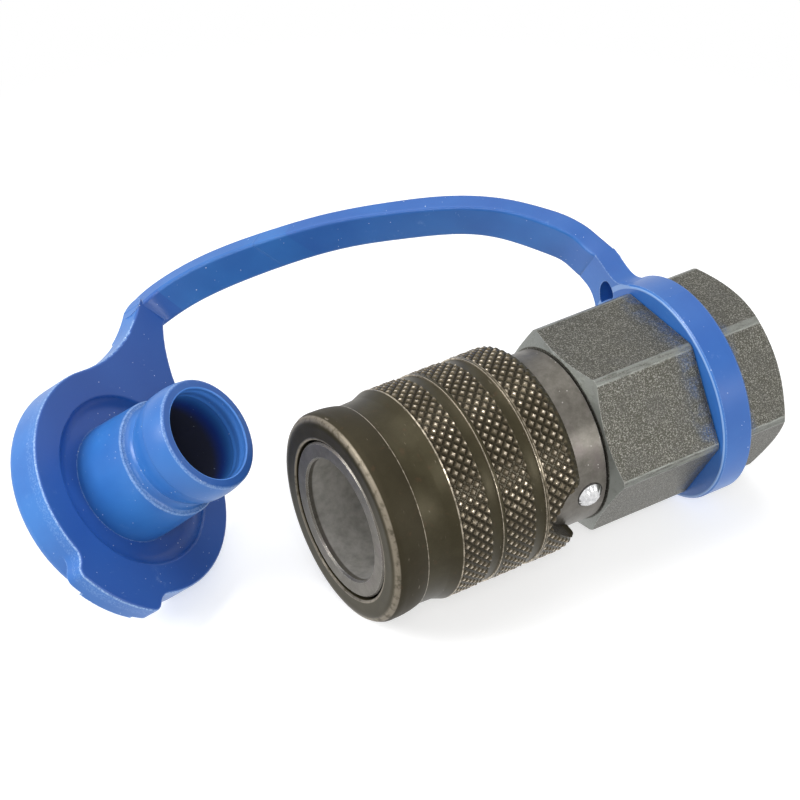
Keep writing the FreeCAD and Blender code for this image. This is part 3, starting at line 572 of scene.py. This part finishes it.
def bright_look():
    """Polished steel of the pin, balls and valve, with fine scratches, and facets round the pin's dome."""
    look = Look("bright_steel")
    clouded = (0.62, 0.62, 0.63)
    polished = (0.80, 0.80, 0.80)
    stained = (0.3, 0.3, 0.32)
    scratch = look.noise(0.35, 3, 0.6, (5, 1, 1))
    colour = look.mix(look.step(look.noise(0.9, 3), 0.35, 0.7), clouded, polished)
    colour = look.mix(look.both(look.step(look.noise(0.5, 3), 0.6, 0.72), 0.35), colour, stained)
    angle, reach, on_side = look.around_pin()
    facets = look.math("ABSOLUTE", look.math("SINE", look.both(angle, PIN_FACETS / 2)))
    on_pin = look.both(look.step(look.radius, BARREL_R - 0.15, BARREL_R + 0.05), on_side,
                       look.step(reach, 0.9, 1.9))
    bumps = look.bump(look.both(facets, on_pin), 0.13, 1.0, look.bump(scratch, 0.04, 0.8))
    return look.finish(colour, look.lerp(scratch, 0.08, 0.26), bumps, metallic=1.0)


def spring_look():
    """Drawn spring wire with a thin film of oil."""
    look = Look("spring_steel")
    oiled = (0.2, 0.19, 0.18)
    drawn = (0.38, 0.37, 0.35)
    streak = look.noise(0.25, 3, 0.6, (1, 6, 6))
    colour = look.mix(look.step(streak, 0.3, 0.7), oiled, drawn)
    return look.finish(colour, look.lerp(streak, 0.26, 0.42), look.bump(streak, 0.02, 0.6), metallic=1.0)


def rubber_look():
    """Black nitrile rubber, slightly bloomed."""
    look = Look("black_rubber")
    black = (0.014, 0.014, 0.015)
    bloom = (0.04, 0.04, 0.041)
    cloud = look.noise(1.4, 3, 0.6)
    colour = look.mix(look.step(cloud, 0.35, 0.75), black, bloom)
    return look.finish(colour, look.lerp(cloud, 0.45, 0.7), look.bump(look.noise(0.2, 2), 0.02, 0.5))


def backup_look():
    """White back-up ring of the bore seal, with faint cutting marks."""
    look = Look("white_ring")
    grey_white = (0.62, 0.61, 0.56)
    clean_white = (0.78, 0.77, 0.73)
    cloud = look.noise(2.0, 3, 0.6)
    colour = look.mix(look.step(cloud, 0.3, 0.7), grey_white, clean_white)
    marks = look.noise(0.25, 2, 0.5, (1, 8, 8))
    return look.finish(colour, look.lerp(cloud, 0.42, 0.58), look.bump(marks, 0.02, 0.5))


def blue_look():
    """Blue moulding: orange-peel skin, dust, scratches, rubbed edges with painted highlights, a parting line,
    painted shade on faces that look along the plug, and a hollow with painted shade and painted light.
    """
    look = Look("blue_plastic")
    deep_blue = (0.025, 0.126, 0.405)
    fresh_blue = (0.032, 0.160, 0.47)
    face_shade_blue = (0.020, 0.074, 0.34)
    painted_light_blue = (0.075, 0.26, 0.74)
    rubbed_and_highlight_blue = (0.34, 0.50, 0.76)
    painted_shade_blue = (0.018, 0.050, 0.26)
    hollow_painted_shade = (0.040, 0.044, 0.070)
    dust_white = (0.72, 0.80, 0.92)

    cloud = look.noise(14.0, 3, 0.5)
    colour = look.mix(look.step(cloud, 0.3, 0.72), deep_blue, fresh_blue)
    dust = look.specks(1.5, 0.16, 0.09)
    fluff = look.both(look.specks(0.7, 0.16, 0.16), look.step(look.noise(5.0, 2), 0.5, 0.62), 0.85)
    scratch = look.both(look.step(look.noise(0.35, 3, 0.55, (14, 1, 4)), 0.7, 0.76),
                        look.step(look.noise(9, 2), 0.52, 0.64), 0.45)
    chalk = look.both(look.step(look.noise(2.6, 5, 0.75), 0.58, 0.75), look.step(cloud, 0.5, 0.66), 0.22)
    gritty = look.step(look.noise(0.4, 3, 0.75), 0.36, 0.64, 0.15, 1)

    away = look.vector("SUBTRACT", look.place, tuple(PLUG_CENTRE))
    along = look.along(away, PLUG_AXIS)
    across = look.length(look.vector("SUBTRACT", away, look.vector("SCALE", tuple(PLUG_AXIS), scale=along)))
    hollow = look.both(look.step(across, HOLLOW_R + 0.25, HOLLOW_R + 0.35, 1, 0),
                       look.step(along, HOLLOW_FLOOR - 0.6, HOLLOW_FLOOR - 0.2))
    ridges = look.both(look.math("SINE", look.both(along, 2 * math.pi / RIDGE_PITCH)), hollow,
                       look.band(along, PLUG_END - 4.1, PLUG_END - 0.5, 0.4))
    line = look.both(look.band(along, PLUG_BULGE - 0.08, PLUG_BULGE + 0.08, 0.08),
                     look.step(across, 11.5, 12.0))

    # Painted highlights along the disc's front edge, the shoulder and the lip.
    plate_edge_highlight = look.both(look.band(along, -0.5, -0.2, 0.1), look.band(across, DISC_R - 1.8, 40.0, 1.0))
    shoulder = look.both(look.band(along, PLUG_SHOULDER - 0.3, PLUG_SHOULDER + 0.1, 0.2),
                         look.band(across, 11.8, 14.5, 0.2))
    lip = look.both(look.band(along, PLUG_END - 0.6, PLUG_END - 0.2, 0.2), look.band(across, 11.5, 13.5, 0.3))
    brim = look.both(look.band(along, -2.6, -1.0, 0.8), look.band(across, DISC_R - 0.5, 31.0, 0.2),
                     look.step(gritty, 0.6, 0.9), 0.22)
    # Painted highlight line along the ring's front edge.
    ring_edge_highlight = look.both(look.band(look.station, RING_FRONT - 0.02, RING_FRONT + 0.16, 0.08),
                          look.band(look.radius, RING_R - 0.7, RING_R + 0.3, 0.15))
    moulded_edge_highlight = look.either(plate_edge_highlight, look.both(shoulder, 0.7), look.both(lip, 0.6))
    # Rim: painted highlights with sparkle along sharp and moulded edges and the ring's edge, and real wear on
    # the brim.
    rim = look.either(look.both(look.edges(0.5, 0.86, 0.985), gritty, 0.8), look.both(moulded_edge_highlight, gritty), brim,
                      look.both(ring_edge_highlight, 0.6))

    # Painted shade: faces that look along the plug, on the disc and on the lip, are painted a deeper blue.
    flat = look.math("ABSOLUTE", look.along(look.normal, PLUG_AXIS))
    face = look.both(look.band(along, -2.2, 2.5, 0.1), look.step(across, 12.0, 13.0), flat)
    lip_face_shade = look.both(look.step(along, PLUG_END - 0.7, PLUG_END - 0.3), flat, 0.7)
    colour = look.mix(look.both(look.either(face, lip_face_shade), 0.75), colour, face_shade_blue)
    # Painted light on the hollow's wall near its mouth.
    colour = look.mix(look.both(hollow, look.step(along, *HOLLOW_LIT)), colour, painted_light_blue)
    # Pale: real scratches and chalky wear, and the rim's painted highlights and wear.
    pale = look.either(scratch, chalk, look.both(rim, 0.8))
    colour = look.mix(pale, colour, rubbed_and_highlight_blue)
    # Painted shade deeper in the hollow, down to near-black painted shade at its floor.
    colour = look.mix(look.both(hollow, look.step(along, *HOLLOW_SHADED, 1, 0)), colour, painted_shade_blue)
    colour = look.mix(look.both(hollow, look.step(along, *HOLLOW_DARKEST_SHADE, 1, 0)), colour, hollow_painted_shade)
    colour = look.mix(look.either(dust, fluff), colour, dust_white)

    grain = look.noise(0.9, 3, 0.55)
    bumps = look.bump(grain, 0.035, 0.5)
    for height, distance in ((ridges, 0.08), (line, 0.06), (scratch, 0.03)):
        bumps = look.bump(height, distance, 1.0, bumps)
    roughness = look.lerp(look.either(pale, look.both(grain, 0.3)), 0.3, 0.6)
    return look.finish(colour, roughness, bumps, specular=0.45)


LOOKS = {"phosphate_hex": phosphate_look(), "steel_body": body_look(), "steel_sleeve": sleeve_look(),
         "bright_steel": bright_look(), "spring_steel": spring_look(), "black_rubber": rubber_look(),
         "white_ring": backup_look(), "blue_plastic": blue_look()}


def make_mesh(name, points, faces, material=None):
    """Object with a closed mesh in the frame's metres, its faces turned outward."""
    mesh = bpy.data.meshes.new(name)
    mesh.from_pydata([tuple(point) for point in points], [], faces)
    shell = bmesh.new()
    shell.from_mesh(mesh)
    bmesh.ops.recalc_face_normals(shell, faces=shell.faces)
    shell.to_mesh(mesh)
    shell.free()
    if material:
        mesh.materials.append(material)
    return link(name, mesh)


def shade_smooth(mesh, sharp_angle):
    """Shades a mesh smooth, with sharp edges from that angle on."""
    mesh.polygons.foreach_set("use_smooth", [True] * len(mesh.polygons))
    mesh.set_sharp_from_angle(angle=math.radians(sharp_angle))


def make_piece(name, points, faces, replaced, body, slot, sharp_angle):
    """Piece that rides on a body, and stands for a solid where one is named."""
    piece = make_mesh(name, points, faces, LOOKS[slot])
    shade_smooth(piece.data, sharp_angle)
    if replaced:
        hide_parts(replaced)
    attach(piece, body)
    return piece


def tube_faces(rings, count):
    """Faces of a tube through that many rings of count points, with flat ends."""
    last = (rings - 1) * count
    faces = [tuple(range(count)), tuple(range(last + count - 1, last - 1, -1))]
    for start in range(0, last, count):
        for k in range(count):
            beside = (k + 1) % count
            faces.append((start + beside, start + k, start + count + k, start + count + beside))
    return faces


def about_axis(station, radius, angle):
    """Point in the frame's metres at a station, a distance from the axis and an angle about it."""
    return ((station - ZERO) * MM, radius * math.cos(angle) * MM, radius * math.sin(angle) * MM)


def arc(start, middle, end, steps):
    """Points of a circular arc after its start, in the plane of station and radius."""
    (s1, r1), (s2, r2), (s3, r3) = start, middle, end
    double = 2 * (s1 * (r2 - r3) + s2 * (r3 - r1) + s3 * (r1 - r2))
    d1, d2, d3 = s1 * s1 + r1 * r1, s2 * s2 + r2 * r2, s3 * s3 + r3 * r3
    centre_s = (d1 * (r2 - r3) + d2 * (r3 - r1) + d3 * (r1 - r2)) / double
    centre_r = (d1 * (s3 - s2) + d2 * (s1 - s3) + d3 * (s2 - s1)) / double
    size = math.hypot(s1 - centre_s, r1 - centre_r)
    first = math.atan2(r1 - centre_r, s1 - centre_s)
    turn = (math.atan2(r3 - centre_r, s3 - centre_s) - first) % (2 * math.pi)
    through = (math.atan2(r2 - centre_r, s2 - centre_s) - first) % (2 * math.pi)
    if through > turn:
        turn -= 2 * math.pi
    angles = [first + turn * i / steps for i in range(1, steps + 1)]
    return [(centre_s + size * math.cos(angle), centre_r + size * math.sin(angle)) for angle in angles]


def knurl_stations(first, last):
    """Stations of a knurled band: its ends, and every sample of the pattern between them."""
    step = KNURL_PITCH / SAMPLES
    first += 0.02
    stations = [first] + [k * step for k in range(int(first / step) + 1, int(last / step) + 1)]
    return [station for station in stations if first <= station < last - 0.03] + [last]


def sleeve_profile():
    """Closed section of the sleeve: (station, radius, knurl depth)."""
    plain = [(SLEEVE_FRONT, MOUTH_R + 0.4), (SLEEVE_FRONT, RIM_R - 4.0), (SLEEVE_FRONT, RIM_R - 3.0)]
    plain += arc((SLEEVE_FRONT, RIM_R - 3.0), (-0.1, RIM_R - 1.7), (0.4, RIM_R - 0.65), 6)
    plain += arc((0.4, RIM_R - 0.65), (1.2, RIM_R - 0.15), (2.7, RIM_R), 5)
    plain += arc((2.7, RIM_R), (5.4, RIM_R - 0.12), (RIM_END, RIM_R - 0.65), 8)
    plain += [(RIM_END + 0.03, BAND_R + 0.1), (RIM_END + 0.1, BAND_R + 0.03), (BAND_START, BAND_R),
              (10.8, BAND_R + 0.07), (BAND_END, BAND_R + 0.15)]
    plain += arc((BAND_END, BAND_R + 0.15), (14.2, BAND_R + 0.45), (KNURL_START, KNURL_R), 6)
    out = [(s, r, 0) for s, r in plain]
    out += [(s, KNURL_R, KNURL_DEPTH) for s in knurl_stations(KNURL_START, GROOVES[0][0])]
    for (front, edge, collar), following in zip(GROOVES, (GROOVES[1][0], TAIL_START)):
        groove = [(front + 0.25, GROOVE_R + 0.05)]
        groove += arc((front + 0.3, GROOVE_R + 0.05), ((front + edge) / 2, GROOVE_R - 0.08),
                      (edge - 0.04, GROOVE_R), 5)
        groove += [(edge, COLLAR_R - 0.04), (edge + 0.06, COLLAR_R), (collar - 0.1, COLLAR_R),
                   (collar, COLLAR_R - 0.12)]
        out += [(s, r, 0) for s, r in groove]
        out += [(s, KNURL_R, KNURL_DEPTH) for s in knurl_stations(collar + 0.05, following)]
    tail = arc((TAIL_START, KNURL_R), (SLEEVE_BACK - 0.7, KNURL_R - 0.75), (SLEEVE_BACK, KNURL_R - 2.45),
               TAIL_STEPS)
    out += [(s, r, KNURL_DEPTH * max(0.0, 1 - (i / TAIL_FADE) ** 3)) for i, (s, r) in enumerate(tail)]
    inside = [(SLEEVE_BACK, CHAMBER_R + 0.22), (SLEEVE_BACK - 0.22, CHAMBER_R), (CHAMBER_MIDDLE, CHAMBER_R),
              (CHAMBER_START, CHAMBER_R), (CHAMBER_START, LAND_R), (LAND_START, LAND_R),
              (CAM_START, RELIEF_R), (LIP_BACK, RELIEF_R), (LIP_BACK, LAND_R), (LIP_FRONT, LAND_R),
              (LIP_FRONT, MOUTH_R + 0.4), (MOUTH_BACK, MOUTH_R + 0.4), (MOUTH_BACK, MOUTH_R),
              (SLEEVE_FRONT + 0.3, MOUTH_R)]
    return out + [(s, r, 0) for s, r in inside]


def ridge(phase):
    """0 at whole numbers of the phase and 1 halfway between them."""
    return 1 - np.abs(2 * (phase % 1.0) - 1)


def sleeve_mesh():
    """Points and faces of the turned sleeve, with pyramids where two sets of slanted grooves cross."""
    rows = np.array(sleeve_profile())
    count = KNURL_AROUND * SAMPLES
    turn = np.arange(count) * (2 * math.pi / count)
    around = turn[None, :] * KNURL_AROUND / (2 * math.pi)
    along = rows[:, 0:1] / KNURL_PITCH
    height = np.minimum(np.minimum(ridge(around + along), ridge(around - along)) / TIP_SHARE, 1.0)
    radius = rows[:, 1:2] - rows[:, 2:3] * (1 - height)
    station = np.repeat(rows[:, 0:1] - ZERO, count, axis=1)
    points = np.stack([station, radius * np.cos(turn), radius * np.sin(turn)], axis=-1) * MM
    faces = []
    for row in range(len(rows)):
        here, after = row * count, (row + 1) % len(rows) * count
        for k in range(count):
            beside = (k + 1) % count
            faces.append((here + k, after + k, after + beside, here + beside))
    return points.reshape(-1, 3), faces


def smooth_path(points, steps):
    """Catmull-Rom curve through the points."""
    ends = [points[0]] + list(points) + [points[-1]]
    path = []
    for i in range(len(points) - 1):
        p0, p1, p2, p3 = (np.array(p) for p in ends[i:i + 4])
        for k in range(steps):
            t = k / steps
            path.append(tuple(0.5 * (2 * p1 + (p2 - p0) * t + (2 * p0 - 5 * p1 + 4 * p2 - p3) * t * t
                                     + (3 * p1 - p0 - 3 * p2 + p3) * t ** 3)))
    return path + [points[-1]]


def cut_notch(piece):
    """Cuts the lock notch out of the back edge of the sleeve."""
    outline = smooth_path(NOTCH, 5) + [(NOTCH_OPEN, NOTCH[-1][1]), (NOTCH_OPEN, NOTCH[0][1])]
    turn = math.radians(NOTCH_ANGLE)
    radial = Vector((0, math.cos(turn), math.sin(turn)))
    across = Vector((0, -math.sin(turn), math.cos(turn)))
    points = []
    for reach in NOTCH_RADII:
        for ahead, side in outline:
            place = Vector((SLEEVE_BACK - ahead - ZERO, 0, 0)) + across * side
            points.append((place + radial * reach) * MM)
    n = len(outline)
    faces = [tuple(range(n)), tuple(range(2 * n - 1, n - 1, -1))]
    faces += [(i, i + n, (i + 1) % n + n, (i + 1) % n) for i in range(n)]
    cutter = make_mesh("notch_cutter", points, faces)
    change = piece.modifiers.new("notch", "BOOLEAN")
    change.operation = "DIFFERENCE"
    change.object = cutter
    change.solver = "EXACT"
    bpy.context.view_layer.update()
    result = bpy.data.meshes.new_from_object(piece.evaluated_get(bpy.context.evaluated_depsgraph_get()))
    piece.modifiers.clear()
    piece.data = result
    bpy.data.objects.remove(cutter)


def make_sleeve():
    """Sleeve with its knurl and notch, in place of the plain solid."""
    piece = make_mesh("sleeve_knurl", *sleeve_mesh(), LOOKS["steel_sleeve"])
    cut_notch(piece)
    shade_smooth(piece.data, 20)
    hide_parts("knurled_sleeve")
    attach(piece, "sleeve")


def make_coil(name, replaced, body, start, end, mean_r, wire_r, turns):
    """Compression spring with closed ends."""
    closed = 2.04 * wire_r
    free = (end - start - 2 * closed - 2 * wire_r) / (turns - 2)
    total = int(turns * COIL_STEPS)
    points = []
    for i in range(total + 1):
        turn = i / COIL_STEPS
        if turn < 1:
            along = start + wire_r + closed * turn
        elif turn > turns - 1:
            along = end - wire_r - closed * (turns - turn)
        else:
            along = start + wire_r + closed + free * (turn - 1)
        for k in range(WIRE_SIDES):
            side = 2 * math.pi * k / WIRE_SIDES
            points.append(about_axis(along + wire_r * math.sin(side), mean_r + wire_r * math.cos(side),
                                     2 * math.pi * turn))
    piece = make_piece(name, points, tube_faces(total + 1, WIRE_SIDES), replaced, body, "spring_steel", 60)
    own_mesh(piece)


def make_thread():
    """Thread of the rear port: a helical ridge on the wall of the hole, fading out at both ends."""
    turns = (PORT_END - PORT_START) / PORT_PITCH
    total = int(turns * PORT_STEPS)
    points = []
    for i in range(total + 1):
        turn = i / PORT_STEPS
        crest = PORT_RIDGE * min(1.0, turn * 2, (turns - turn) * 2)
        for ahead, height in ((PORT_HALF, PORT_ROOT), (PORT_CREST_HALF, crest), (-PORT_CREST_HALF, crest),
                              (-PORT_HALF, PORT_ROOT)):
            station = PORT_START + PORT_PITCH * (turn + ahead)
            points.append(about_axis(station, PORT_R - height, 2 * math.pi * turn))
    make_piece("port_thread", points, tube_faces(total + 1, 4), None, "body", "phosphate_hex", 30)


def dress_solids():
    """Gives each solid of the frame the finish of its slot."""
    for part in frame["record"]["subparts"]:
        node = frame["nodes"][part["node"]]
        for slot in node.material_slots:
            slot.material = LOOKS[part["material_slot"]]


make_sleeve()
make_thread()
make_coil("sleeve_spring_coil", "sleeve_spring", "body", start=SPRING_START, end=BARREL_START,
          mean_r=18.60, wire_r=0.94, turns=5)
make_coil("valve_spring_coil", "valve_spring", "valve_spring_end", start=VALVE_HEAD_BACK,
          end=VALVE_GUIDE_FRONT, mean_r=5.0, wire_r=0.6, turns=6)

dress_solids()
make_camera()
make_world()
make_floor()
for lamp in LAMPS:
    make_lamp(*lamp)
